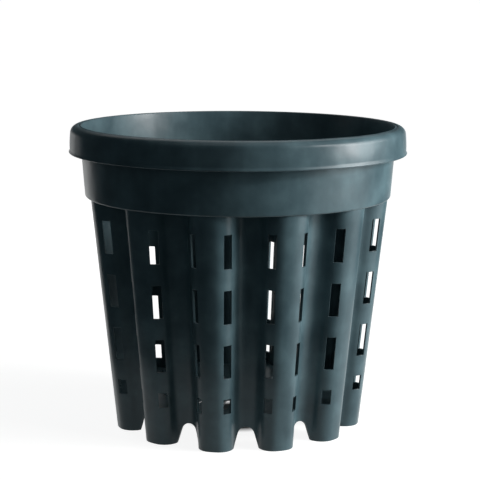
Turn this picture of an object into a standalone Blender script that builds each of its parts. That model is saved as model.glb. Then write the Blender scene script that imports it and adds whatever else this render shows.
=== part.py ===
# Air pruning pot with a fluted, slotted wall.
# The real pot is one injection moulding in black-green polypropylene. It is modelled here as the
# regions that the moulding is drawn from: a rolled rim, a plain collar with a scalloped shelf, twelve
# flutes that end in feet, and a perforated floor. Neighbouring regions stand one small gap apart.
# Metres, +Z up. The origin is on the pot's axis, in the plane that its feet stand on.
# Flute 01 points along -Y, and the others follow anticlockwise, seen from above.

import math

import bmesh
import bpy
from mathutils import Matrix, Vector

# Overall
HEIGHT = 0.236
WALL = 0.0018  # thickness of collar, shelf and flutes
GAP = 0.0003  # between neighbouring regions

# Collar: the plain band under the rim
COLLAR_BAND = 0.0342  # from the skirt's lower edge down to the collar's
COLLAR_FOOT_RADIUS = 0.1197  # outside, at its lower edge
COLLAR_DRAFT = math.radians(4.3)
COLLAR_FOOT_ROUND = 0.0014  # radius of its lower outer edge
SHELF_FILLET = 0.0015  # where the collar's wall meets the shelf, inside

# Rolled rim: a channel that opens downwards, outside the collar
RIM_DEPTH = 0.021  # from the top face to the skirt's lower edge
RIM_OVERHANG = 0.0068  # how far the skirt stands out from the collar's wall, at the top
RIM_WALL = 0.0022
RIM_SHOULDER = 0.0060  # radius between the top face and the skirt
MOUTH_ROUND = 0.0006  # radius of the mouth's upper edge
SKIRT_DRAFT = math.radians(1.5)
BEAD_RADIUS = 0.0008  # of the bead along the skirt's lower edge
BEAD_STAND = 0.0009  # how far the bead stands out

# Flutes
FLUTES = 12
FLUTE_STEP = 0.0017  # from the collar's lower edge in to a flute's crest
FLUTE_DRAFT = math.radians(6.2)  # lean of a crest from the vertical
FLUTE_DEPTH_TOP = 0.0175  # crest to valley
FLUTE_DEPTH_BOTTOM = 0.0165
FRONT_RADIUS = 0.030  # curve of a crest's broad front, across the flute
FRONT_TURN = math.radians(7)  # how far the front has turned where its corner begins
CORNER_RADIUS_TOP = 0.0161  # of the tighter curve from the front round to the flank
CORNER_RADIUS_BOTTOM = 0.0108

# Air slots, in two columns a flute
SLOT_WIDTH = 0.0070
SLOT_ROWS = 4
SLOT_HEIGHT = 0.0255
LOW_SLOT_HEIGHT = 0.0115  # of the lowest row, which is cut short over the floor
SLOT_TURN = math.radians(48)  # how far the corner has turned at a slot's middle
SLOT_TOP_MARGIN = 0.0140  # collar's lower edge down to the first slot
SLOT_FLOOR_MARGIN = 0.0079  # floor up to the lowest slot

# Arches between the feet
ARCH_WIDTH = 0.019  # at the ground
ARCH_HEIGHT = 0.016
ARCH_TOP_RADIUS = 0.0065

# Floor
FLOOR_HEIGHT = 0.022  # of its upper face, above the feet
FLOOR_THICKNESS = 0.0024
CENTRE_HOLE_RADIUS = 0.009
DRAIN_SLOT_WIDTH = 0.006
DRAIN_SLOT_START = 0.026  # radius of its inner end
DRAIN_SLOT_LENGTH = 0.034
FOOT_HOLE_RADIUS = 0.004  # one over each foot
FOOT_HOLE_INSET = 0.013  # from the floor's edge at a crest to the hole's centre

# Plastic
PLASTIC_COLOUR = (0.042, 0.078, 0.091, 1.0)
PLASTIC_ROUGHNESS = 0.42

# Fineness of the faceting
RIM_SEGMENTS = 60
FRONT_FACETS = 1  # from a crest's middle to its corner
CORNER_FACETS = 5
VALLEY_FACETS = 4  # from the corner to a valley's middle
ROUND_FACETS = 4  # in a quarter turn
HOLE_SEGMENTS = 16
CUT_REACH = 0.005  # how far a cutter runs past what it cuts

# Derived
HALF_FLUTE = math.pi / FLUTES  # angle from a crest's middle to a valley's
RIM_FOOT_HEIGHT = HEIGHT - RIM_DEPTH
COLLAR_TOP_HEIGHT = RIM_FOOT_HEIGHT - GAP
COLLAR_FOOT_HEIGHT = RIM_FOOT_HEIGHT - COLLAR_BAND
FLUTE_TOP_HEIGHT = COLLAR_FOOT_HEIGHT - GAP
CREST_TOP_RADIUS = COLLAR_FOOT_RADIUS - FLUTE_STEP


def collar_radius(height):
    """Outer radius of the collar's wall, which runs on up inside the rim."""
    return COLLAR_FOOT_RADIUS + (height - COLLAR_FOOT_HEIGHT) * math.tan(COLLAR_DRAFT)


def skirt_radius(height):
    """Outer radius of the rim's skirt."""
    return collar_radius(HEIGHT) + RIM_OVERHANG + (HEIGHT - height) * math.tan(SKIRT_DRAFT)


def crest_distance(height):
    """Distance from the pot's axis to a flute's crest."""
    return CREST_TOP_RADIUS - (COLLAR_FOOT_HEIGHT - height) * math.tan(FLUTE_DRAFT)


def between(bottom, top, height):
    """A value that changes evenly from the ground to the collar's lower edge."""
    return bottom + (top - bottom) * height / COLLAR_FOOT_HEIGHT


def direction(angle):
    return Vector((math.cos(angle), math.sin(angle)))


def arc(centre, radius, start, end, facets):
    """Points on an arc about centre, from angle start to angle end, both included."""
    return [
        (
            centre[0] + radius * math.cos(start + (end - start) * k / facets),
            centre[1] + radius * math.sin(start + (end - start) * k / facets),
        )
        for k in range(facets + 1)
    ]


def flute_circles(height):
    """The three circles that a flute's outer face follows at this height, which touch where they meet.

    The crest's broad front and its corner bulge outwards, and the valley bulges inwards. Each is given
    as its centre, its radius and the angle, measured from the flute's own direction, at which the face
    leaves it.
    """
    crest = crest_distance(height)
    valley = crest - between(FLUTE_DEPTH_BOTTOM, FLUTE_DEPTH_TOP, height)
    corner_radius = between(CORNER_RADIUS_BOTTOM, CORNER_RADIUS_TOP, height)
    front = Vector((crest - FRONT_RADIUS, 0))
    corner = front + direction(FRONT_TURN) * (FRONT_RADIUS - corner_radius)
    reach = corner.dot(direction(HALF_FLUTE))
    valley_radius = (corner.length_squared + valley**2 - 2 * valley * reach - corner_radius**2) / (
        2 * (corner_radius + reach - valley)
    )
    hollow = direction(HALF_FLUTE) * (valley + valley_radius)
    turn = math.atan2(hollow.y - corner.y, hollow.x - corner.x)
    ends = (FRONT_TURN, turn, HALF_FLUTE)
    return tuple(zip((front, corner, hollow), (FRONT_RADIUS, corner_radius, valley_radius), ends))


def half_flute(height, inset, end_gap):
    """Points of the face from the crest's middle to the valley's, for a flute that points along +X.

    inset moves the face into the wall, and end_gap stops it short of the valley's middle.
    """
    front, corner, valley = flute_circles(height)
    points = arc(front[0], front[1] - inset, 0, front[2], FRONT_FACETS)
    points += arc(corner[0], corner[1] - inset, front[2], corner[2], CORNER_FACETS)[1:]
    radius = valley[1] + inset
    last = valley[2] + math.asin(end_gap / radius)
    return points + arc(valley[0], radius, math.pi + corner[2], math.pi + last, VALLEY_FACETS)[1:]


def whole_flute(height, inset, end_gap):
    """The face from one valley's middle to the next, anticlockwise."""
    half = half_flute(height, inset, end_gap)
    return [(x, -y) for x, y in reversed(half[1:])] + half


def fluted_outline(height, inset):
    """A closed outline that follows all the flutes."""
    flute = whole_flute(height, inset, 0)[:-1]
    turns = [Matrix.Rotation(flute_angle(k), 2) for k in range(FLUTES)]
    return [tuple(turn @ Vector(point)) for turn in turns for point in flute]


def flute_angle(number):
    """Direction of a flute about the axis. Number 0 points along -Y."""
    return 2 * math.pi * number / FLUTES - math.pi / 2


def at_height(outline, height):
    return [(x, y, height) for x, y in outline]


def plastic(name):
    material = bpy.data.materials.new(name + "_plastic")
    material.use_nodes = True
    shader = material.node_tree.nodes["Principled BSDF"]
    shader.inputs["Base Color"].default_value = PLASTIC_COLOUR
    shader.inputs["Roughness"].default_value = PLASTIC_ROUGHNESS
    shader.inputs["Metallic"].default_value = 0
    material.diffuse_color = PLASTIC_COLOUR
    return material


def skin(name, loops, is_ring=False):
    """A mesh through loops of points. A ring joins its last loop to its first; else both are capped."""
    shape = bmesh.new()
    rows = [[shape.verts.new(point) for point in loop] for loop in loops]
    following = rows[1:] + rows[:1] if is_ring else rows[1:]
    for row, next_row in zip(rows, following):
        for k in range(len(row)):
            after = (k + 1) % len(row)
            shape.faces.new((row[k], row[after], next_row[after], next_row[k]))
    if not is_ring:
        shape.faces.new(rows[0])
        shape.faces.new(rows[-1])
    bmesh.ops.recalc_face_normals(shape, faces=shape.faces)
    mesh = bpy.data.meshes.new(name)
    shape.to_mesh(mesh)
    shape.free()
    return mesh


def add_region(name, mesh):
    """Puts a region of the moulding in the scene, with its own material and smooth round faces."""
    mesh.shade_smooth()
    mesh.set_sharp_from_angle(angle=math.radians(30))
    region = bpy.data.objects.new(name, mesh)
    bpy.context.scene.collection.objects.link(region)
    if not mesh.materials:
        mesh.materials.append(None)
    region.material_slots[0].link = "OBJECT"
    region.material_slots[0].material = plastic(name)
    return region


def add_cutter(name, mesh):
    cutter = bpy.data.objects.new(name, mesh)
    bpy.context.scene.collection.objects.link(cutter)
    cutter.hide_render = True
    cutter.display_type = "WIRE"
    return cutter


def joined(name, meshes):
    """One mesh that holds several separate ones."""
    shape = bmesh.new()
    for mesh in meshes:
        shape.from_mesh(mesh)
        bpy.data.meshes.remove(mesh)
    mesh = bpy.data.meshes.new(name)
    shape.to_mesh(mesh)
    shape.free()
    return mesh


def cut(name, mesh, cutters):
    """The mesh with all the cutters' shapes taken out of it."""
    blank = bpy.data.objects.new(name + "_blank", mesh)
    bpy.context.scene.collection.objects.link(blank)
    cutter = add_cutter(name + "_cutter", joined(name + "_cuts", cutters))
    boolean = blank.modifiers.new("cuts", "BOOLEAN")
    boolean.operation = "DIFFERENCE"
    boolean.solver = "EXACT"
    boolean.object = cutter
    graph = bpy.context.evaluated_depsgraph_get()
    result = bpy.data.meshes.new_from_object(blank.evaluated_get(graph))
    result.name = name
    bpy.data.objects.remove(blank)
    bpy.data.objects.remove(cutter)
    return result


def rim_profile():
    """Closed outline of the rim's section, in distance from the axis and height.

    It goes up the mouth, over the top face and the shoulder, down the skirt to its bead, and back
    through the channel.
    """
    mouth = collar_radius(HEIGHT) - WALL
    shoulder = skirt_radius(HEIGHT - RIM_SHOULDER) - RIM_SHOULDER
    bead_height = RIM_FOOT_HEIGHT + BEAD_RADIUS
    bead_centre = skirt_radius(bead_height) + BEAD_STAND - BEAD_RADIUS
    channel_top = HEIGHT - RIM_WALL
    channel_round = RIM_SHOULDER - RIM_WALL
    quarter = math.pi / 2
    profile = [(collar_radius(RIM_FOOT_HEIGHT) - WALL, RIM_FOOT_HEIGHT)]
    profile += arc((mouth + MOUTH_ROUND, HEIGHT - MOUTH_ROUND), MOUTH_ROUND, math.pi, quarter, 2)
    profile += arc((shoulder, HEIGHT - RIM_SHOULDER), RIM_SHOULDER, quarter, 0, ROUND_FACETS)
    profile += arc((bead_centre, bead_height), BEAD_RADIUS, quarter / 2, -quarter, ROUND_FACETS)
    profile.append((skirt_radius(RIM_FOOT_HEIGHT) - RIM_WALL, RIM_FOOT_HEIGHT))
    profile += arc((shoulder, HEIGHT - RIM_SHOULDER), channel_round, 0, quarter, 2)
    profile.append((collar_radius(channel_top), channel_top))
    profile.append((collar_radius(RIM_FOOT_HEIGHT), RIM_FOOT_HEIGHT))
    return profile


def rim_mesh():
    profile = rim_profile()
    loops = []
    for k in range(RIM_SEGMENTS):
        angle = 2 * math.pi * k / RIM_SEGMENTS
        across, along = math.cos(angle), math.sin(angle)
        loops.append([(r * across, r * along, height) for r, height in profile])
    return skin("rim", loops, is_ring=True)


def collar_mesh():
    """The collar's wall and the shelf that closes the space over each valley.

    Its section changes round the pot, because the shelf's inner edge follows the flutes' inner face.
    """
    foot = COLLAR_FOOT_HEIGHT
    shelf_top = foot + WALL
    round_centre = (collar_radius(foot + COLLAR_FOOT_ROUND) - COLLAR_FOOT_ROUND, foot + COLLAR_FOOT_ROUND)
    fillet_foot = shelf_top + SHELF_FILLET
    outside = [(collar_radius(COLLAR_TOP_HEIGHT), COLLAR_TOP_HEIGHT)]
    outside += arc(round_centre, COLLAR_FOOT_ROUND, 0, -math.pi / 2, 2)
    loops = []
    for x, y in fluted_outline(foot, WALL):
        edge = math.hypot(x, y)
        wall_at_fillet = collar_radius(fillet_foot) - WALL
        fillet = min(SHELF_FILLET, (wall_at_fillet - edge) / 2)
        section = outside + [(edge, foot), (edge, shelf_top)]
        section.append((wall_at_fillet - fillet, shelf_top))
        section.append((wall_at_fillet, fillet_foot))
        section.append((collar_radius(COLLAR_TOP_HEIGHT) - WALL, COLLAR_TOP_HEIGHT))
        loops.append([(r * x / edge, r * y / edge, height) for r, height in section])
    return skin("collar", loops, is_ring=True)


def slot_rows():
    """Top and bottom of each slot in a column, with their tops evenly spaced."""
    first = COLLAR_FOOT_HEIGHT - SLOT_TOP_MARGIN
    last = FLOOR_HEIGHT + SLOT_FLOOR_MARGIN + LOW_SLOT_HEIGHT
    tops = [first + (last - first) * k / (SLOT_ROWS - 1) for k in range(SLOT_ROWS)]
    return [(top, top - SLOT_HEIGHT) for top in tops[:-1]] + [(last, last - LOW_SLOT_HEIGHT)]


def slot_cutter(side, top, bottom):
    """A block square to the flank, which leans with it. side is 1 or -1."""
    loops = []
    for height in (bottom, top):
        _, (centre, radius, _), _ = flute_circles(height)
        out = direction(side * SLOT_TURN).to_3d()
        along = Vector((-out.y, out.x, 0)) * SLOT_WIDTH / 2
        middle = Vector((centre.x, side * centre.y, height)) + out * radius
        near, far = middle - out * (WALL + CUT_REACH), middle + out * CUT_REACH
        loops.append([near - along, far - along, far + along, near + along])
    return skin("slot", loops)


def arch_outline():
    """Half width and height of the arch, from the left of the ground over the top to the right."""
    top_centre = ARCH_HEIGHT - ARCH_TOP_RADIUS
    half = ARCH_WIDTH / 2
    to_corner = math.atan2(-top_centre, half)
    start = to_corner + math.acos(ARCH_TOP_RADIUS / math.hypot(top_centre, half))
    top = arc((0, top_centre), ARCH_TOP_RADIUS, start, math.pi - start, 2 * ROUND_FACETS)
    slope = (half - top[0][0]) / top[0][1]
    sunk = half + slope * CUT_REACH
    return [(sunk, -CUT_REACH)] + top + [(-sunk, -CUT_REACH)]


def arch_cutter(side):
    """A prism along the valley's middle, on one side of the flute."""
    turn = Matrix.Rotation(side * HALF_FLUTE, 3, "Z")
    inner = crest_distance(0) - FLUTE_DEPTH_BOTTOM - WALL - CUT_REACH
    outer = crest_distance(ARCH_HEIGHT) + CUT_REACH
    outline = arch_outline()
    loops = [[turn @ Vector((r, across, height)) for across, height in outline] for r in (inner, outer)]
    return skin("arch", loops)


def flute_mesh():
    """One flute with its two columns of slots, and half an arch on each side of its foot."""
    loops = []
    for height in (0, FLUTE_TOP_HEIGHT):
        outer = whole_flute(height, 0, GAP / 2)
        inner = whole_flute(height, WALL, GAP / 2)
        loops.append(at_height(outer + inner[::-1], height))
    cutters = [slot_cutter(side, top, bottom) for side in (1, -1) for top, bottom in slot_rows()]
    cutters += [arch_cutter(side) for side in (1, -1)]
    return cut("flute", skin("flute", loops), cutters)


def upright_cutter(outline):
    """A cutter that stands through the floor."""
    low = FLOOR_HEIGHT - FLOOR_THICKNESS - CUT_REACH
    return skin("hole", [at_height(outline, low), at_height(outline, FLOOR_HEIGHT + CUT_REACH)])


def round_hole(distance, radius):
    return arc((distance, 0), radius, 0, 2 * math.pi, HOLE_SEGMENTS)[:-1]


def drain_slot():
    """A slot with round ends, along +X."""
    radius = DRAIN_SLOT_WIDTH / 2
    quarter = math.pi / 2
    near = (DRAIN_SLOT_START + radius, 0)
    far = (DRAIN_SLOT_START + DRAIN_SLOT_LENGTH - radius, 0)
    half = HOLE_SEGMENTS // 2
    return arc(far, radius, -quarter, quarter, half) + arc(near, radius, quarter, 3 * quarter, half)


def floor_mesh():
    """The floor, one gap inside the flutes, with its drain holes."""
    loops = []
    for height in (FLOOR_HEIGHT - FLOOR_THICKNESS, FLOOR_HEIGHT):
        loops.append(at_height(fluted_outline(height, WALL + GAP), height))
    foot_hole = crest_distance(FLOOR_HEIGHT) - WALL - GAP - FOOT_HOLE_INSET
    outlines = [round_hole(0, CENTRE_HOLE_RADIUS)]
    for k in range(FLUTES):
        turn = Matrix.Rotation(flute_angle(k), 2)
        for outline in (drain_slot(), round_hole(foot_hole, FOOT_HOLE_RADIUS)):
            outlines.append([tuple(turn @ Vector(point)) for point in outline])
    return cut("floor", skin("floor", loops), [upright_cutter(outline) for outline in outlines])


def main():
    for old in list(bpy.data.objects):
        bpy.data.objects.remove(old)
    add_region("rim", rim_mesh())
    add_region("collar", collar_mesh())
    flute = flute_mesh()
    for k in range(FLUTES):
        region = add_region(f"flute_{k + 1:02d}", flute)
        region.rotation_euler.z = flute_angle(k)
    add_region("floor", floor_mesh())


main()
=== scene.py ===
import math

import bpy
import numpy as np
from mathutils import Matrix, Vector


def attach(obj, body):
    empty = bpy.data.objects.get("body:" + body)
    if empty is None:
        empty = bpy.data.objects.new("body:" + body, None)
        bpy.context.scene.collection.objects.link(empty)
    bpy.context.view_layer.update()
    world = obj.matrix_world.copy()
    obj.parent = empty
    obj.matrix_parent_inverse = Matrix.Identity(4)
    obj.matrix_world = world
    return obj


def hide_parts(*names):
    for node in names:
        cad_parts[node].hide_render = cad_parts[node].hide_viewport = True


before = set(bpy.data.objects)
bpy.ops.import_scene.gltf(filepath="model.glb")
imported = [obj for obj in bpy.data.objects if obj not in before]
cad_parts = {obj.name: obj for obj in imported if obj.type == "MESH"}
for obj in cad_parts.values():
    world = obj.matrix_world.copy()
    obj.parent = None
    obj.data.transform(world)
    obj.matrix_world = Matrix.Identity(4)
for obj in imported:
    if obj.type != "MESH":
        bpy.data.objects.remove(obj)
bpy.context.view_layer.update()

# Air pruning pot in dark slate polypropylene, one injection moulding. The CAD regions are replaced by finer
# surfaces that meet without a gap: a fluted wall with its slots and feet, a collar, a rolled rim and a
# floor. Metres, +Z up, the pot's axis on Z, its feet on Z = 0.


# Shared sizes: change them here and every piece follows

pot = {
    "height": 0.236,
    "wall": 0.0018,
    "flutes": 12,
    "collarFoot": 0.1808,       # height of the collar's lower edge
    "collarFootRadius": 0.1197,
    "collarLean": 4.3,          # degrees from the vertical
    "rimFoot": 0.215,           # height of the skirt's lower edge
}

halfFlute = math.pi / pot["flutes"]  # angle from a crest's middle to a valley's


def collarRadius(z):
    # outer radius of the collar, a cone: its foot's radius plus height times the tangent of its lean
    return pot["collarFootRadius"] + (z - pot["collarFoot"]) * math.tan(math.radians(pot["collarLean"]))


def arcPoints(centreR, centreZ, radius, start, end, count):
    # radius and height of points on a circle's arc, from angle start to angle end in degrees
    a = np.radians(np.linspace(start, end, count))
    return np.stack([centreR + radius * np.cos(a), centreZ + radius * np.sin(a)], axis=-1)


def meshFromFaces(name, points, quads):
    # a mesh object from an n x 3 array of points and an m x 4 array of corners; points that no face uses
    # are left out, and the faces are turned over if the volume they enclose comes out negative
    used, corners = np.unique(quads.ravel(), return_inverse=True)
    points, quads = points[used], corners.reshape(-1, 4)
    a, b, c, d = (points[quads[:, k]] for k in range(4))
    volume = np.einsum("ij,ij->", a, np.cross(b, c)) + np.einsum("ij,ij->", a, np.cross(c, d))
    if volume < 0:
        quads = quads[:, ::-1]
    mesh = bpy.data.meshes.new(name)
    mesh.vertices.add(len(points))
    mesh.vertices.foreach_set("co", points.ravel())
    mesh.loops.add(quads.size)
    mesh.loops.foreach_set("vertex_index", quads.ravel())
    mesh.polygons.add(len(quads))
    mesh.polygons.foreach_set("loop_start", np.arange(0, quads.size, 4))
    mesh.update(calc_edges=True)
    mesh.validate()
    mesh.shade_smooth()
    piece = bpy.data.objects.new(name, mesh)
    bpy.context.scene.collection.objects.link(piece)
    return piece


def ringFromGrid(name, points):
    # a closed ring: rows go round its section and columns round the pot, and both join up at their ends
    rows, columns = points.shape[:2]
    index = np.arange(rows * columns).reshape(rows, columns)
    up, on = np.roll(index, -1, axis=0), np.roll(index, -1, axis=1)
    quads = np.stack([index, on, np.roll(up, -1, axis=1), up], axis=-1).reshape(-1, 4)
    return meshFromFaces(name, points.reshape(-1, 3), quads)


def shellFromGrids(name, outer, inner, solid):
    # a sheet with two faces, outer and inner, both grids of rows x columns points with columns all round.
    # solid tells which cells hold plastic. A strip joins the faces wherever plastic ends.
    rows, columns = outer.shape[:2]
    out = np.arange(rows * columns).reshape(rows, columns)
    into = out + rows * columns
    outOn, intoOn = np.roll(out, -1, axis=1), np.roll(into, -1, axis=1)
    faces = [
        np.stack([out[:-1], outOn[:-1], outOn[1:], out[1:]], axis=-1)[solid],
        np.stack([into[:-1], into[1:], intoOn[1:], intoOn[:-1]], axis=-1)[solid],
    ]
    nothing = np.zeros((1, columns), bool)
    below, above = np.vstack([nothing, solid]), np.vstack([solid, nothing])
    ledge = np.stack([out, outOn, intoOn, into], axis=-1)
    faces += [ledge[below & ~above], ledge[above & ~below][:, ::-1]]
    before = np.roll(solid, 1, axis=1)
    side = np.stack([out[:-1], into[:-1], into[1:], out[1:]], axis=-1)
    faces += [side[before & ~solid], side[solid & ~before][:, ::-1]]
    points = np.concatenate([outer.reshape(-1, 3), inner.reshape(-1, 3)])
    return meshFromFaces(name, points, np.concatenate(faces))


def roundEdges(piece, width, segments, leastTurn, isKept):
    # a small radius on each edge whose two faces turn more than leastTurn degrees and whose ends pass
    # isKept. An edge that turns as much and doesn't pass stays sharp. The faces' normals are gathered edge by
    # edge, two to each, which holds because every face has four corners and every edge two faces.
    mesh = piece.data
    loopEdge = np.empty(len(mesh.loops), np.int64)
    mesh.loops.foreach_get("edge_index", loopEdge)
    normals = np.empty(len(mesh.polygons) * 3)
    mesh.polygons.foreach_get("normal", normals)
    byEdge = np.argsort(loopEdge, kind="stable")
    normals = np.repeat(normals.reshape(-1, 3), 4, axis=0)[byEdge].reshape(-1, 2, 3)
    turn = np.einsum("ij,ij->i", normals[:, 0], normals[:, 1])
    ends = np.empty(len(mesh.edges) * 2, np.int64)
    mesh.edges.foreach_get("vertices", ends)
    points = np.empty(len(mesh.vertices) * 3)
    mesh.vertices.foreach_get("co", points)
    kept = isKept(points.reshape(-1, 3))[ends.reshape(-1, 2)].all(axis=1)
    turned = turn < math.cos(math.radians(leastTurn))
    weight, sharp = (turned & kept).astype(float), turned & ~kept
    for name, kind, values in (("bevel_weight_edge", "FLOAT", weight), ("sharp_edge", "BOOLEAN", sharp)):
        mesh.attributes.new(name, kind, "EDGE").data.foreach_set("value", values)
    bevel = piece.modifiers.new("edgeRadius", "BEVEL")
    bevel.limit_method = "WEIGHT"
    bevel.width = width
    bevel.segments = segments
    bevel.use_clamp_overlap = False
    bevel.harden_normals = True


# The fluted wall, with its air slots and the feet between the arches

wallSizes = {
    "crestStep": 0.0017,        # collar's lower edge in to a crest
    "lean": 6.2,                # of a crest from the vertical, degrees
    "depth": (0.0165, 0.0175),  # crest to valley, at the ground and under the collar
    "crestRadius": 0.030,       # of a crest's broad front
    "crestTurn": 7,             # degrees that the front has turned where its corner begins
    "cornerRadius": (0.0108, 0.0161),
    "slotWidth": 0.0070,
    "slotTurn": 48,             # degrees that the corner has turned at a slot's middle
    "slotTops": (0.1668, 0.1250, 0.0832, 0.0414),
    "slotHeights": (0.0255, 0.0255, 0.0255, 0.0115),
    "slotRows": (4, 4, 4, 2),   # rows of faces over each slot's height
    "archWidth": 0.019,         # at the ground
    "archHeight": 0.016,
    "archTopRadius": 0.0065,
    "top": 0.18255,             # ends just under the upper face of the collar's shelf
    "edgeRadius": 0.00022,
    "edgeSegments": 2,
    "edgeTurn": 40,             # least turn of an edge that gets the radius, degrees
    "plainTop": 0.001,          # the wall's upper edge, which gets none, lies in this band
    "columns": (10, 6, 3, 13),  # crest to slot, across the slot, slot to foot corner, foot corner to valley
    "lowRows": (0.018, 0.024),  # heights of two rows between the arches and the lowest slots
    "landRow": 0.0085,          # from a slot's top up to a row between two slots
    "footRows": 5,              # from the ground or the arch up to the first of the low rows
}


def fluteCircles(z):
    # the three circles that a flute's face follows from its crest to the valley, each as its radius, the
    # place of its centre and the angle at which the face leaves it: the crest's broad front, its corner and
    # the valley, which bulges inwards. The valley's radius follows from the corner and the valley being
    # tangent and the valley's middle lying at its depth.
    share = z / pot["collarFoot"]
    crest = pot["collarFootRadius"] - wallSizes["crestStep"]
    crest = crest - (pot["collarFoot"] - z) * math.tan(math.radians(wallSizes["lean"]))
    depth, corner = (low + (high - low) * share
                     for low, high in (wallSizes["depth"], wallSizes["cornerRadius"]))
    valley, front, bend = crest - depth, wallSizes["crestRadius"], math.radians(wallSizes["crestTurn"])
    cornerX = crest - front + (front - corner) * math.cos(bend)
    cornerY = (front - corner) * math.sin(bend)
    reach = cornerX * math.cos(halfFlute) + cornerY * math.sin(halfFlute)
    apart = cornerX**2 + cornerY**2 + valley**2 - 2 * valley * reach - corner**2
    hollow = apart / (2 * (corner + reach - valley))
    valleyX, valleyY = (valley + hollow) * math.cos(halfFlute), (valley + hollow) * math.sin(halfFlute)
    turn = np.arctan2(valleyY - cornerY, valleyX - cornerX)
    return ((front, crest - front, 0, bend),
            (corner, cornerX, cornerY, turn),
            (hollow, valleyX, valleyY, halfFlute))


def fluteFace(z, along, inset):
    # point of the face at distance along from the crest's middle, for a flute that points along +X: round
    # the front, then the corner, then back round the valley. inset moves it into the wall.
    (r1, x1, y1, t1), (r2, x2, y2, t2), (r3, x3, y3, _) = fluteCircles(z)
    first, second = r1 * t1, r1 * t1 + r2 * (t2 - t1)
    a, b, c = along / r1, t1 + (along - first) / r2, math.pi + t2 - (along - second) / r3
    onFront, onCorner = along < first, along < second
    px = np.where(onCorner, x2 + (r2 - inset) * np.cos(b), x3 + (r3 + inset) * np.cos(c))
    py = np.where(onCorner, y2 + (r2 - inset) * np.sin(b), y3 + (r3 + inset) * np.sin(c))
    px = np.where(onFront, x1 + (r1 - inset) * np.cos(a), px)
    py = np.where(onFront, y1 + (r1 - inset) * np.sin(a), py)
    return px, py


def archRise(across):
    # height of the arch's outline at a distance across from the valley's middle: a round top, then a
    # straight side that leaves it at a tangent and meets the ground at half the arch's width
    r, half = wallSizes["archTopRadius"], wallSizes["archWidth"] / 2
    centre = wallSizes["archHeight"] - r
    a = math.atan2(-centre, half) + math.acos(r / math.hypot(centre, half))
    touch, touchZ = r * math.cos(a), centre + r * math.sin(a)
    rounded = centre + np.sqrt(np.maximum(r**2 - across**2, 0))
    straight = touchZ * (half - across) / (half - touch)
    return np.where(across < touch, rounded, np.maximum(straight, 0))


def columnStops(z, inset):
    # distances along the face, at heights z, of the crest, the slot's two edges and the valley. The slot's
    # sides are parallel through the wall, so its edges lie further apart on the tighter inner circle.
    (r1, _, _, t1), (r2, _, _, t2), (r3, _, _, t3) = fluteCircles(z)
    middle = r1 * t1 + r2 * (math.radians(wallSizes["slotTurn"]) - t1)
    spread = r2 * np.arcsin(wallSizes["slotWidth"] / 2 / (r2 - inset))
    whole = r1 * t1 + r2 * (t2 - t1) + r3 * (t2 - t3)
    return 0 * z, middle - spread, middle + spread, whole


def footCorner(inset):
    # where the arch meets the ground, as a share of the way from the slot's edge to the valley: the point
    # whose distance from the valley's middle is half the arch's width, found on a fine row of points
    _, _, end, whole = columnStops(np.zeros(1), inset)
    fineRow = 2000
    along = np.linspace(end[0], whole[0], fineRow)
    x, y = fluteFace(np.zeros_like(along), along, inset)
    across = x * math.sin(halfFlute) - y * math.cos(halfFlute)
    return (np.interp(-wallSizes["archWidth"] / 2, -across, along) - end[0]) / (whole[0] - end[0])


def wallColumns(z, inset):
    # distance along the face of each point of a grid of heights z: even steps between the crest, the slot's
    # two edges, the foot's corner and the valley
    crest, start, end, whole = columnStops(z, inset)
    corner = end + footCorner(inset) * (whole - end)
    stops = np.stack([crest, start, end, corner, whole])
    spans = wallSizes["columns"]
    share = np.concatenate([k + np.arange(n) / n for k, n in enumerate(spans)] + [[len(spans)]])
    low = np.minimum(share.astype(int), len(spans) - 1)
    column = np.arange(len(share))
    near, far = stops[low, :, column].T, stops[low + 1, :, column].T
    return near + (far - near) * (share - low)


def roundThePot(grid):
    # x and y of half a flute's columns, mirrored to a whole one and turned to each flute's direction
    x, y = (np.hstack([sign * v[:, :0:-1], v])[:, :-1] for v, sign in zip(grid, (1, -1)))
    angles = 2 * math.pi * np.arange(pot["flutes"]) / pot["flutes"] - math.pi / 2
    c, s = np.cos(angles)[None, :, None], np.sin(angles)[None, :, None]
    x, y = x[:, None, :], y[:, None, :]
    return (x * c - y * s).reshape(len(x), -1), (x * s + y * c).reshape(len(x), -1)


def bothHalves(values):
    # the same value for both halves of each flute, all round
    return np.tile(np.hstack([values[:, :0:-1], values])[:, :-1], pot["flutes"])


def wallRows():
    # heights of the wall's rows over the feet, and whether the slots cut the cells between each two
    heights, cut = list(wallSizes["lowRows"]), [False] * (len(wallSizes["lowRows"]) - 1)
    slots = zip(wallSizes["slotTops"], wallSizes["slotHeights"], wallSizes["slotRows"])
    for top, tall, steps in reversed(list(slots)):
        heights += list(np.linspace(top - tall, top, steps + 1)) + [top + wallSizes["landRow"]]
        cut += [False] + [True] * steps + [False]
    return np.array(heights), np.array(cut + [False])


def wallGrid(inset):
    # one face of the wall: x, y and z of its points. The lowest rows rise from the ground, or from the
    # arch's outline. A column's place depends a little on its height, so the outline's height at a column
    # is found by repeating.
    heights, _ = wallRows()
    foot = np.zeros((1, 1 + sum(wallSizes["columns"])))
    repeats = 20
    for _ in range(repeats):
        x, y = fluteFace(foot, wallColumns(foot, inset), inset)
        foot = archRise(np.abs(x * math.sin(halfFlute) - y * math.cos(halfFlute)))
    rise = np.linspace(0, 1, wallSizes["footRows"] + 1)[:-1, None]
    heights = np.append(heights, wallSizes["top"])
    z = np.vstack([foot + (heights[0] - foot) * rise, np.repeat(heights[:, None], foot.shape[1], axis=1)])
    x, y = fluteFace(z, wallColumns(z, inset), inset)
    return np.stack([*roundThePot((x, y)), bothHalves(z)], axis=-1)


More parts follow.
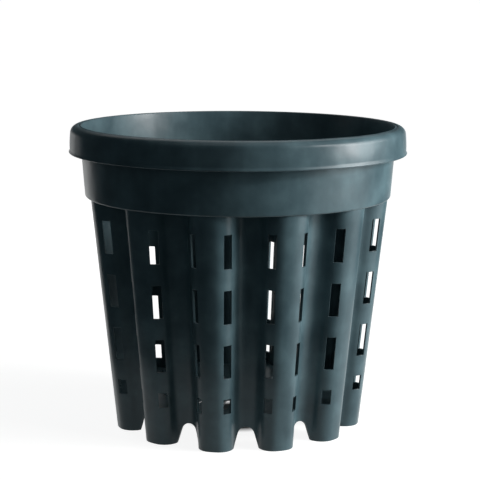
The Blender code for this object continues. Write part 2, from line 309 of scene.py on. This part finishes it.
def makeWall():
    outer, inner = wallGrid(0), wallGrid(pot["wall"])
    _, cut = wallRows()
    cut = np.concatenate([np.zeros(wallSizes["footRows"], bool), cut])
    crest, slot, land, valley = wallSizes["columns"]
    half = np.array([False] * crest + [True] * slot + [False] * (land + valley))
    slotColumns = np.tile(np.concatenate([half[::-1], half]), pot["flutes"])
    wall = shellFromGrids("fluted_wall", outer, inner, ~(cut[:, None] & slotColumns[None, :]))
    highest = wallSizes["top"] - wallSizes["plainTop"]
    roundEdges(wall, wallSizes["edgeRadius"], wallSizes["edgeSegments"], wallSizes["edgeTurn"],
               lambda points: points[:, 2] < highest)
    print("wall:", len(wall.data.polygons), "faces")
    return wall


# The collar: a plain band with a rounded foot, and the shelf that closes the space over each valley

collarSizes = {
    "footRadius": 0.0018,       # of its lower edge
    "fillet": 0.0022,           # from the shelf up to the inside of the band
    "filletShare": 0.8,         # of the shelf's own width, the most that the fillet takes
    "lap": 0.00002,             # how far the shelf's edge stands back from the wall's inner face
    "rows": (5, 7, 4, 5, 5),    # down the outside, round the foot, underneath, up the fillet, up the inside
    "sharpTurn": 50,            # degrees between two faces from which their edge shows
}


def makeCollar():
    # the section goes down the outside, round the foot, in along the shelf's underside to the flutes' inner
    # face, up, back out along the shelf and up the inside; only the shelf's edge changes round the pot
    foot, wall, r = pot["collarFoot"], pot["wall"], collarSizes["footRadius"]
    lean = math.radians(pot["collarLean"])
    z = np.full((1, 1 + sum(wallSizes["columns"])), foot)
    inset = wall - collarSizes["lap"]
    x, y = roundThePot(fluteFace(z, wallColumns(z, inset), inset))
    edge, angle = np.hypot(x, y)[0], np.arctan2(y, x)[0]
    down, turn, under, bow, rise = collarSizes["rows"]
    centre = collarRadius(foot + r) - r / math.cos(lean)
    drop = np.linspace(pot["rimFoot"], foot + r - r * math.sin(lean), down + 1)[:-1]
    outside = np.concatenate([np.stack([collarRadius(drop), drop], axis=-1),
                              arcPoints(centre, foot + r, r, -pot["collarLean"], -90, turn + 1)])
    radii = [np.repeat(outside[:, :1], len(edge), axis=1)]
    heights = [np.repeat(outside[:, 1:], len(edge), axis=1)]
    share = np.linspace(0, 1, under + 1)[1:, None]
    radii.append(centre + (edge - centre) * share)
    heights.append(np.full((under, len(edge)), foot))
    shelf = foot + wall
    radii.append(edge[None, :])
    heights.append(np.full((1, len(edge)), shelf))
    room = collarRadius(shelf) - wall - edge
    fillet = np.minimum(collarSizes["fillet"], room * collarSizes["filletShare"])
    a = np.radians(np.linspace(-90, -pot["collarLean"], bow + 1))[:, None]
    radii.append(collarRadius(shelf + fillet) - wall - fillet + fillet * np.cos(a))
    heights.append(shelf + fillet + fillet * np.sin(a))
    share = np.linspace(0, 1, rise + 1)[1:, None]
    top = heights[-1][-1]
    heights.append(top + (pot["rimFoot"] - top) * share)
    radii.append(collarRadius(heights[-1]) - wall)
    radius, height = np.vstack(radii), np.vstack(heights)
    points = np.stack([radius * np.cos(angle), radius * np.sin(angle), height], axis=-1)
    collar = ringFromGrid("collar_band", points)
    collar.data.set_sharp_from_angle(angle=math.radians(collarSizes["sharpTurn"]))
    print("collar:", len(collar.data.polygons), "faces")
    return collar, angle


# The rolled rim: mouth, top band, shoulder, skirt with a lip along its foot, and the channel behind it

rimSizes = {
    "overhang": 0.0068,         # skirt's stand from the collar's wall, at the top
    "wall": 0.0022,
    "mouthRadius": 0.0007,      # of the mouth's upper edge
    "bandDip": 0.0005,          # how far the top band is hollowed
    "bandSkew": 0.8,            # under 1, the hollow's middle lies nearer the mouth
    "shoulderRadius": 0.0060,
    "lean": 1.5,                # of the skirt, degrees, wider at its foot
    "belly": 0.0003,            # how far the skirt bulges halfway down
    "lipRadius": 0.0008,
    "lipStand": 0.00085,        # how far the lip stands out from the skirt
    "flare": 0.0014,            # height over which the skirt runs out into the lip
    "channelFillet": 0.0010,
    "footChamfer": 0.0003,      # of the skirt's inner lower edge
    # points up the mouth, over its edge, over the band, round the shoulder, down the skirt, round the lip,
    # up inside the skirt, round inside the shoulder, round the channel's fillet and down the channel
    "points": (6, 6, 12, 13, 17, 7, 6, 6, 5, 5),
    "sharpTurn": 50,
}


def skirtRadius(z):
    # outer radius of the skirt without its belly: a cone that widens downwards, the drop from the top times
    # the tangent of its lean
    widening = (pot["height"] - z) * math.tan(math.radians(rimSizes["lean"]))
    return collarRadius(pot["height"]) + rimSizes["overhang"] + widening


def rimSection():
    # radius and height round the rim's closed section: up the mouth, over the top band, whose hollow is a
    # squared sine, round the shoulder, down the skirt, whose belly is a parabola, out into the lip by a
    # smooth step, along the foot and back up and down through the channel
    s, top, foot = rimSizes, pot["height"], pot["rimFoot"]
    mouth = collarRadius(top) - pot["wall"]
    shoulderZ = top - s["shoulderRadius"]
    shoulder = skirtRadius(shoulderZ) - s["shoulderRadius"]
    lipZ = foot + s["lipRadius"]
    lip = skirtRadius(lipZ) + s["lipStand"] - s["lipRadius"]
    mouthUp, mouthTurn, across, turn, down, lipTurn, up, innerTurn, filletTurn, back = s["points"]
    r = s["mouthRadius"]
    z = np.linspace(foot, top - r, mouthUp)[:-1]
    section = [np.stack([collarRadius(z) - pot["wall"], z], axis=-1)]
    section.append(arcPoints(mouth + r, top - r, r, 180, 90, mouthTurn))
    t = np.linspace(0, 1, across)[1:-1]
    band = mouth + r + (shoulder - mouth - r) * t
    dip = s["bandDip"] * np.sin(math.pi * t ** s["bandSkew"]) ** 2
    section.append(np.stack([band, top - dip], axis=-1))
    section.append(arcPoints(shoulder, shoulderZ, s["shoulderRadius"], 90, 0, turn))
    z = np.linspace(shoulderZ, lipZ, down)[1:-1]
    u = (shoulderZ - z) / (shoulderZ - lipZ)
    step = np.clip(1 - (z - lipZ) / s["flare"], 0, 1)
    stand = 4 * s["belly"] * u * (1 - u) + s["lipStand"] * step**2 * (3 - 2 * step)
    section.append(np.stack([skirtRadius(z) + stand, z], axis=-1))
    section.append(arcPoints(lip, lipZ, s["lipRadius"], 0, -90, lipTurn))
    inside, chamfer = skirtRadius(foot) - s["wall"], s["footChamfer"]
    section.append(np.array([[inside + chamfer, foot], [inside, foot + chamfer]]))
    z = np.linspace(foot, shoulderZ, up)[1:-1]
    section.append(np.stack([skirtRadius(z) - s["wall"], z], axis=-1))
    section.append(arcPoints(shoulder, shoulderZ, s["shoulderRadius"] - s["wall"], 0, 90, innerTurn))
    ceiling = top - s["wall"]
    f = s["channelFillet"]
    section.append(arcPoints(collarRadius(ceiling - f) + f, ceiling - f, f, 90, 180, filletTurn))
    z = np.linspace(ceiling - f, foot, back)[1:]
    section.append(np.stack([collarRadius(z), z], axis=-1))
    return np.concatenate(section)


def makeRim(angle):
    # the section carried round the axis, on the same directions as the collar's columns
    section = rimSection()
    radius, height = section[:, :1], section[:, 1:]
    points = np.stack([radius * np.cos(angle), radius * np.sin(angle), height + 0 * angle], axis=-1)
    rim = ringFromGrid("rolled_rim", points)
    rim.data.set_sharp_from_angle(angle=math.radians(rimSizes["sharpTurn"]))
    print("rim:", len(rim.data.polygons), "faces")
    return rim


# The floor: a plate over the feet with a centre hole, radial drain slots and a hole over each foot

floorSizes = {
    "top": 0.022,
    "thickness": 0.0024,
    "centreHole": 0.009,        # radii and distances from the axis
    "slotWidth": 0.006,
    "slotStart": 0.026,
    "slotLength": 0.034,
    "footHole": 0.004,
    "footHoleInset": 0.0151,    # from a crest's outer face in to the hole's middle
    "lap": 0.0011,              # how far the plate's edge runs into the wall
    "columns": (2, 12),         # crest line to a hole's edge, from there to the valley
    "innerRings": (0.015, 0.021),  # radii of the rings of points inside the drain slots, and outside
    "outerRings": (0.066, 0.074),
    "tipTurns": (8, 28, 48, 68, 90),  # degrees round a hole's end at which the outline has points
    "roundTo": 0.062,           # the rings are round out to here, and from here come to follow the wall
    "sharpTurn": 40,
}


def holeRows(centre, radius, angles):
    # distance from the axis and half width of a round end, for angles from 0 at its tip
    a = np.radians(angles)
    return np.stack([centre - radius * np.cos(a), radius * np.sin(a)], axis=-1)


def plainRows(*radii):
    # distances from the axis of rings that round no hole's end, with the drain slot's half width
    return np.array([[radius, floorSizes["slotWidth"] / 2] for radius in radii])


def makeFloor():
    # a plate on a grid of rings and spokes: two spokes to a flute follow the edges of the drain slot and of
    # the foot hole, and the rings run from the centre hole out to the wall's own outline
    s = floorSizes
    tips = np.array(s["tipTurns"])
    half = s["slotWidth"] / 2
    near, far = s["slotStart"] + half, s["slotStart"] + s["slotLength"] - half
    holeAt = fluteFace(np.full(1, s["top"]), np.zeros(1), 0)[0][0] - s["footHoleInset"]
    rows = np.concatenate([
        plainRows(s["centreHole"], *s["innerRings"]),
        holeRows(near, half, tips), plainRows((near + far) / 2), holeRows(far, half, 180 - tips[::-1]),
        plainRows(*s["outerRings"]),
        holeRows(holeAt, s["footHole"], np.concatenate([tips, 180 - tips[-2::-1]])),
    ])
    slot, hole = [True] * (2 * len(tips)), [True] * (2 * len(tips) - 2)
    inside, between = [False] * (1 + len(s["innerRings"])), [False] * (1 + len(s["outerRings"]))
    cut = np.array(inside + slot + between + hole + [False] * 2)
    distance, halfWidth = rows[:, :1], rows[:, 1:]

    z = np.full((1, 1 + sum(wallSizes["columns"])), s["top"])
    x, y = fluteFace(z, wallColumns(z, pot["wall"]), pot["wall"] - s["lap"])
    wallAngle, wallRadius = np.arctan2(y, x)[0], np.hypot(x, y)[0]
    inner, outer = s["columns"]
    edge = np.arcsin(halfWidth / distance)
    share = np.linspace(0, 1, outer + 1)[1:]
    angle = np.hstack([edge * np.linspace(0, 1, inner + 1), edge + (halfFlute - edge) * share])
    angle = np.vstack([angle, angle[-1:], angle[-1:]])
    outline = np.interp(angle, wallAngle, wallRadius)
    bend, crest = s["roundTo"], wallRadius[0]
    stretched = np.vstack([distance, [[(distance[-1, 0] + crest) / 2], [crest]]])
    follows = bend + (stretched - bend) * (outline - bend) / (crest - bend)
    radius = np.where(stretched > bend, follows, stretched + 0 * angle)
    x, y = roundThePot((radius * np.cos(angle), radius * np.sin(angle)))
    holeColumns = np.array([True] * inner + [False] * outer)
    holeColumns = np.tile(np.concatenate([holeColumns[::-1], holeColumns]), pot["flutes"])
    upper = np.stack([x, y, np.full_like(x, s["top"])], axis=-1)
    lower = np.stack([x, y, np.full_like(x, s["top"] - s["thickness"])], axis=-1)
    floor = shellFromGrids("drain_floor", lower, upper, ~(cut[:, None] & holeColumns[None, :]))
    floor.data.set_sharp_from_angle(angle=math.radians(s["sharpTurn"]))
    print("floor:", len(floor.data.polygons), "faces")
    return floor


# The plastic

plastic = {
    "colour": "#42565C",        # dark slate, between the shaded and the lit plastic of the photograph
    "pale": "#4D6369",          # where there is a little less pigment
    "deep": "#384B51",
    "dust": "#78878A",
    "dustShare": 0.06,          # of a level face that the dust hides
    "dustFrom": 0.3,            # upward part of the normal from which dust settles
    "speck": 0.0016,            # size of a cluster of dust
    "speckReach": (0.45, 0.72),  # noise values between which a cluster goes from none to full
    "ior": 1.49,                # polypropylene
    "specular": 0.26,
    "roughness": (0.30, 0.38),
    "roughReach": (0.3, 0.7),   # values of the clouds between which the roughness goes from low to high
    "streak": 0.006,            # width of a flow streak
    "streakSquash": 0.12,       # its width as a share of its length
    "streakShare": 0.15,        # how much the streaks count beside the clouds
    "cloud": 0.022,             # width of a cloud in the pigment
    "patchReach": 0.2,          # how far either side of their mean the patches take the full colours
    "wave": (0.030, 0.012),     # lengths of the waves that uneven shrinking leaves in the wall
    "waveHeight": (0.0008, 0.00018),
    "grain": 0.0013,            # spark-eroded grain, drawn about five times as coarse as it is, to show
    "grainHeight": 0.000012,
}


def linear(code):
    # sRGB hex to linear: each channel over 12.92 in the darkest part, else a power of 2.4
    c = np.array([int(code[k:k + 2], 16) / 255 for k in (1, 3, 5)])
    return (*np.where(c <= 0.04045, c / 12.92, ((c + 0.055) / 1.055) ** 2.4), 1.0)


def addNode(tree, kind, settings=None, links=None):
    # one node: settings are its properties or the values of its sockets, links name a socket and its source
    node = tree.nodes.new(kind)
    for name, value in (settings or {}).items():
        if isinstance(name, str) and hasattr(node, name):
            setattr(node, name, value)
        else:
            node.inputs[name].default_value = value
    for name, source in (links or {}).items():
        tree.links.new(source, node.inputs[name])
    return node


def combine(tree, operation, first, second):
    # a Math node on two sockets
    return addNode(tree, "ShaderNodeMath", {"operation": operation}, {0: first, 1: second}).outputs[0]


def newMaterial(name):
    material = bpy.data.materials.new(name)
    material.use_nodes = True
    material.node_tree.nodes.clear()
    return material, material.node_tree


def polypropylene():
    # injection-moulded polypropylene, dark slate: a satin skin with a fine spark-eroded grain. The eye sees
    # soft, slightly blotchy highlights, because the thin wall shrank unevenly, faint streaks along the flow
    # from the floor to the rim, and a little dust on the upward faces
    p = plastic
    material, tree = newMaterial("injection_moulded_polypropylene")
    place = addNode(tree, "ShaderNodeTexCoord").outputs["Object"]
    squash = {"Scale": (1, 1, p["streakSquash"])}
    drawn = addNode(tree, "ShaderNodeMapping", squash, {"Vector": place}).outputs[0]

    def noise(size, detail, vector):
        settings = {"Scale": 1 / size, "Detail": detail}
        return addNode(tree, "ShaderNodeTexNoise", settings, {"Vector": vector}).outputs[0]

    def spread(value, low, high, toLow, toHigh):
        settings = {1: low, 2: high, 3: toLow, 4: toHigh}
        return addNode(tree, "ShaderNodeMapRange", settings, {0: value}).outputs[0]

    def sum2(first, share, second):
        # the first times its share, plus the second
        settings = {"operation": "MULTIPLY_ADD", 1: share}
        return addNode(tree, "ShaderNodeMath", settings, {0: first, 2: second}).outputs[0]

    def mixColour(factor, first, second):
        # the Mix node's colours are its sockets 6 and 7, and the mixed colour comes out at 2
        node = addNode(tree, "ShaderNodeMix", {"data_type": "RGBA"})
        for socket, value in ((0, factor), (6, first), (7, second)):
            if isinstance(value, tuple):
                node.inputs[socket].default_value = value
            else:
                tree.links.new(value, node.inputs[socket])
        return node.outputs[2]

    streaks, clouds = noise(p["streak"], 3, drawn), noise(p["cloud"], 4, place)
    patches = sum2(streaks, p["streakShare"], clouds)
    average, reach = (1 + p["streakShare"]) / 2, p["patchReach"]
    fromDeep = spread(patches, average - reach, average, 0, 1)
    toPale = spread(patches, average, average + reach, 0, 1)
    colour = mixColour(fromDeep, linear(p["deep"]), linear(p["colour"]))
    colour = mixColour(toPale, colour, linear(p["pale"]))

    specks = spread(noise(p["speck"], 2, place), *p["speckReach"], 0, 1)
    normal = addNode(tree, "ShaderNodeNewGeometry").outputs["Normal"]
    upward = addNode(tree, "ShaderNodeSeparateXYZ", links={0: normal}).outputs[2]
    settled = spread(upward, p["dustFrom"], 1, 0, p["dustShare"])
    colour = mixColour(combine(tree, "MULTIPLY", specks, settled), colour, linear(p["dust"]))

    tall = {"operation": "MULTIPLY", 1: p["grainHeight"]}
    height = addNode(tree, "ShaderNodeMath", tall, {0: noise(p["grain"], 2, place)}).outputs[0]
    for size, tall in zip(p["wave"], p["waveHeight"]):
        height = sum2(noise(size, 1, place), tall, height)
    full = {"Distance": 1.0, "Strength": 1.0}  # the heights are in metres already
    bump = addNode(tree, "ShaderNodeBump", full, {"Height": height}).outputs[0]

    rough = spread(clouds, *p["roughReach"], *p["roughness"])
    surface = addNode(tree, "ShaderNodeBsdfPrincipled", {"IOR": p["ior"], "Specular IOR Level": p["specular"]},
                      {"Base Color": colour, "Roughness": rough, "Normal": bump})
    addNode(tree, "ShaderNodeOutputMaterial", links={"Surface": surface.outputs[0]})
    return material


# Stage: a sheet of pale paper under the pot, black flags round it, a large softbox at the right with a
# small one beside it and a strip over it, a weak light in front and another behind

stage = {
    "sheet": "#9A9A98",
    "sheetHalf": 40,            # metres, so that no edge of it shows
    "sheetGlow": (0.90, 1.0),   # what the camera sees of it by itself, near the pot and far from it
    "sheetReach": (0.35, 0.9),  # where it goes from the one to the other
    "paintedShadowUnder": (0.034, 0.046),  # radii between which the glow comes in, with none under the pot's middle: a painted shadow of the pot
    "fibres": 900,              # of the paper, per metre
    "fibreHeight": 0.0001,
    "fibreShare": 0.2,          # of its relief that shows
    "flagSteps": 47,            # faces along a flag
    "turn": 10.2,               # degrees that the camera stands round from -Y
    "ambient": (0.014, 0.019, 0.023),
    "felt": (0.05, 0.065, 0.073),  # what the felt gives back of the room's light
}

# each flag's start and end in degrees from the camera, radius, and heights of its lower and upper edges
flags = {
    "left": (-108, -45, 0.22, 0, 1.0),
    "centre": (-45, 38, 0.22, 0, 0.36),
    "right": (30, 104, 1.4, 0, 1.6),
    "beside": (98, 138, 0.40, 0, 1.6),
    "behind": (138, 255, 0.60, 0.25, 0.60),
}

# each lamp's degrees from the camera, distance, height, width and height, power and colour, and whether the
# plastic mirrors it. The back lamp only fills the side turned away from the camera.
lamps = {
    "key": (79, 1.2, 0.45, (0.44, 0.62), 22.5, (1, 1, 1)),
    "high": (98, 1.2, 0.55, (0.30, 0.50), 3, (1, 1, 1)),
    "strip": (60, 1.2, 0.82, (0.30, 0.22), 5, (1, 1, 1)),
    "front": (0, 1.6, 0.70, (0.80, 0.80), 0.4, (1, 1, 1)),
    "back": (212, 1.2, 0.30, (0.60, 0.40), 4, (1, 1, 1), False),
}


def beside(turn, distance, z):
    # a place at a number of degrees round from the camera, to its right, at a distance from the pot's axis
    a = math.radians(stage["turn"] + turn)
    return Vector((math.sin(a) * distance, -math.cos(a) * distance, z))


def rayIsSeen(tree):
    # 1 for rays from the camera and for rays mirrored or let through by glossy surfaces, else 0
    path = addNode(tree, "ShaderNodeLightPath")
    seen = path.outputs["Is Camera Ray"]
    for other in ("Is Glossy Ray", "Is Transmission Ray"):
        seen = combine(tree, "MAXIMUM", seen, path.outputs[other])
    return seen


def whiteWorld():
    # white where it is seen or mirrored, and a weak even light for the rest
    world = bpy.data.worlds.new("studio")
    world.use_nodes = True
    tree = world.node_tree
    tree.nodes.clear()
    dim = addNode(tree, "ShaderNodeBackground", {"Color": (*stage["ambient"], 1)}).outputs[0]
    white = addNode(tree, "ShaderNodeBackground", {"Color": (1, 1, 1, 1)}).outputs[0]
    shade = addNode(tree, "ShaderNodeMixShader", links={0: rayIsSeen(tree), 1: dim, 2: white}).outputs[0]
    addNode(tree, "ShaderNodeOutputWorld", links={"Surface": shade})
    world.cycles.sampling_method = "NONE"
    bpy.context.scene.world = world


def whiteSheet():
    # matt paper, pale grey for the light that it gives back. What the camera and the plastic see of it also
    # glows, a little less than white near the pot, where the lamps make up the rest, so that the pot's
    # shadow stays on it. Under the pot's middle the glow fades out to none, a painted shadow of the pot.
    half = stage["sheetHalf"]
    corners = [(-half, -half, 0), (half, -half, 0), (half, half, 0), (-half, half, 0)]
    mesh = bpy.data.meshes.new("sheet")
    mesh.from_pydata(corners, [], [(0, 1, 2, 3)])
    sheet = bpy.data.objects.new("sheet", mesh)
    bpy.context.scene.collection.objects.link(sheet)
    material, tree = newMaterial("pale_drawing_paper")
    place = addNode(tree, "ShaderNodeTexCoord").outputs["Object"]
    away = addNode(tree, "ShaderNodeVectorMath", {"operation": "LENGTH"}, {0: place}).outputs["Value"]
    (near, far), (low, high), (under, clear) = stage["sheetReach"], stage["sheetGlow"], stage["paintedShadowUnder"]
    glow = addNode(tree, "ShaderNodeMapRange", {1: near, 2: far, 3: low, 4: high}, {0: away}).outputs[0]
    # painted shadow: the glow fades out between these radii, to none under the pot's middle
    outsidePaintedShadow = addNode(tree, "ShaderNodeMapRange", {1: under, 2: clear}, {0: away}).outputs[0]
    for share in (outsidePaintedShadow, rayIsSeen(tree)):
        glow = combine(tree, "MULTIPLY", glow, share)
    light = addNode(tree, "ShaderNodeEmission", links={"Strength": glow}).outputs[0]
    fibre = addNode(tree, "ShaderNodeTexNoise", {"Scale": stage["fibres"], "Detail": 2}, {"Vector": place})
    raised = {"Distance": stage["fibreHeight"], "Strength": stage["fibreShare"]}
    relief = addNode(tree, "ShaderNodeBump", raised, {"Height": fibre.outputs[0]}).outputs[0]
    paper = addNode(tree, "ShaderNodeBsdfDiffuse", {"Color": linear(stage["sheet"])},
                    {"Normal": relief}).outputs[0]
    both = addNode(tree, "ShaderNodeAddShader", links={0: paper, 1: light}).outputs[0]
    addNode(tree, "ShaderNodeOutputMaterial", links={"Surface": both})
    material.cycles.emission_sampling = "NONE"
    mesh.materials.append(material)


def blackFlags():
    # black felt hung round the pot in upright strips of cylinders, so that it mirrors a dark room, and white
    # only over and under the felt. The felt's glow is a plain stand-in for the light that it gives back; it
    # casts no shadow, so the lamps reach the pot through it.
    material, tree = newMaterial("black_felt")
    felt = addNode(tree, "ShaderNodeEmission", {"Color": (*stage["felt"], 1), "Strength": 1.0}).outputs[0]
    addNode(tree, "ShaderNodeOutputMaterial", links={"Surface": felt})
    material.cycles.emission_sampling = "NONE"
    steps = stage["flagSteps"]
    for name, (start, end, radius, low, high) in flags.items():
        turn = np.radians(stage["turn"] + np.linspace(start, end, steps + 1))
        ring = np.stack([radius * np.sin(turn), -radius * np.cos(turn), 0 * turn], axis=-1)
        points = np.concatenate([ring + (0, 0, low), ring + (0, 0, high)])
        faces = [(k, k + 1, k + steps + 2, k + steps + 1) for k in range(steps)]
        mesh = bpy.data.meshes.new("flag_" + name)
        mesh.from_pydata(points.tolist(), [], faces)
        mesh.materials.append(material)
        flag = bpy.data.objects.new("flag_" + name, mesh)
        bpy.context.scene.collection.objects.link(flag)
        flag.visible_camera = False
        flag.visible_shadow = False


def softbox(name, turn, distance, height, size, power, colour, mirrored=True):
    # a rectangular area light that faces the pot's axis
    light = bpy.data.lights.new(name, "AREA")
    light.shape = "RECTANGLE"
    light.size, light.size_y = size
    light.energy = power
    light.color = colour
    lamp = bpy.data.objects.new(name, light)
    where = beside(turn, distance, height)
    facing = Vector((where.x, where.y, 0)).to_track_quat("Z", "Y")
    lamp.matrix_world = Matrix.Translation(where) @ facing.to_matrix().to_4x4()
    lamp.visible_camera = False
    lamp.visible_glossy = mirrored
    bpy.context.scene.collection.objects.link(lamp)


def lightTheStage():
    whiteWorld()
    whiteSheet()
    blackFlags()
    for name, values in lamps.items():
        softbox(name, *values)
    print("stage: set")


# Camera, fitted to points of the rim, the slots, the arches and the feet

view = {
    "lens": 112.1,              # mm, on a sensor of this width
    "sensor": 36,
    "farthest": 200,            # metres that the camera sees
    "distance": 1.168,
    "height": 0.3453,
    "pitch": 9.77,              # degrees down
    "yaw": 0.097,               # degrees to the right of the pot's axis
    "roll": 0.0055,             # radians
}


def placeCamera():
    camera = bpy.data.cameras.new("camera")
    camera.lens = view["lens"]
    camera.sensor_width = view["sensor"]
    camera.sensor_fit = "HORIZONTAL"
    camera.clip_end = view["farthest"]
    pitch, yaw, roll = math.radians(view["pitch"]), math.radians(view["yaw"]), view["roll"]
    level = Vector((math.sin(yaw), math.cos(yaw), 0))
    side = Vector((math.cos(yaw), -math.sin(yaw), 0))
    ahead = level * math.cos(pitch) - Vector((0, 0, math.sin(pitch)))
    above = level * math.sin(pitch) + Vector((0, 0, math.cos(pitch)))
    right = side * math.cos(roll) + above * math.sin(roll)
    up = above * math.cos(roll) - side * math.sin(roll)
    aim = Matrix((right, up, -ahead)).transposed()
    place = Matrix.Translation((0, -view["distance"], view["height"])) @ aim.to_4x4()
    seen = bpy.data.objects.new("camera", camera)
    seen.matrix_world = Matrix.Rotation(math.radians(stage["turn"]), 4, "Z") @ place
    bpy.context.scene.collection.objects.link(seen)
    bpy.context.scene.camera = seen


skin = polypropylene()
wall = makeWall()
collar, directions = makeCollar()
rim = makeRim(directions)
floor = makeFloor()
fluteNodes = ["flute_%02d" % k for k in range(1, pot["flutes"] + 1)]
for piece, nodes in ((wall, fluteNodes), (collar, ["collar"]), (rim, ["rim"]), (floor, ["floor"])):
    piece.data.materials.append(skin)
    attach(piece, "root")
    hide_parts(*nodes)
print("pieces: placed")

lightTheStage()
placeCamera()
bpy.context.scene.view_settings.view_transform = "Standard"
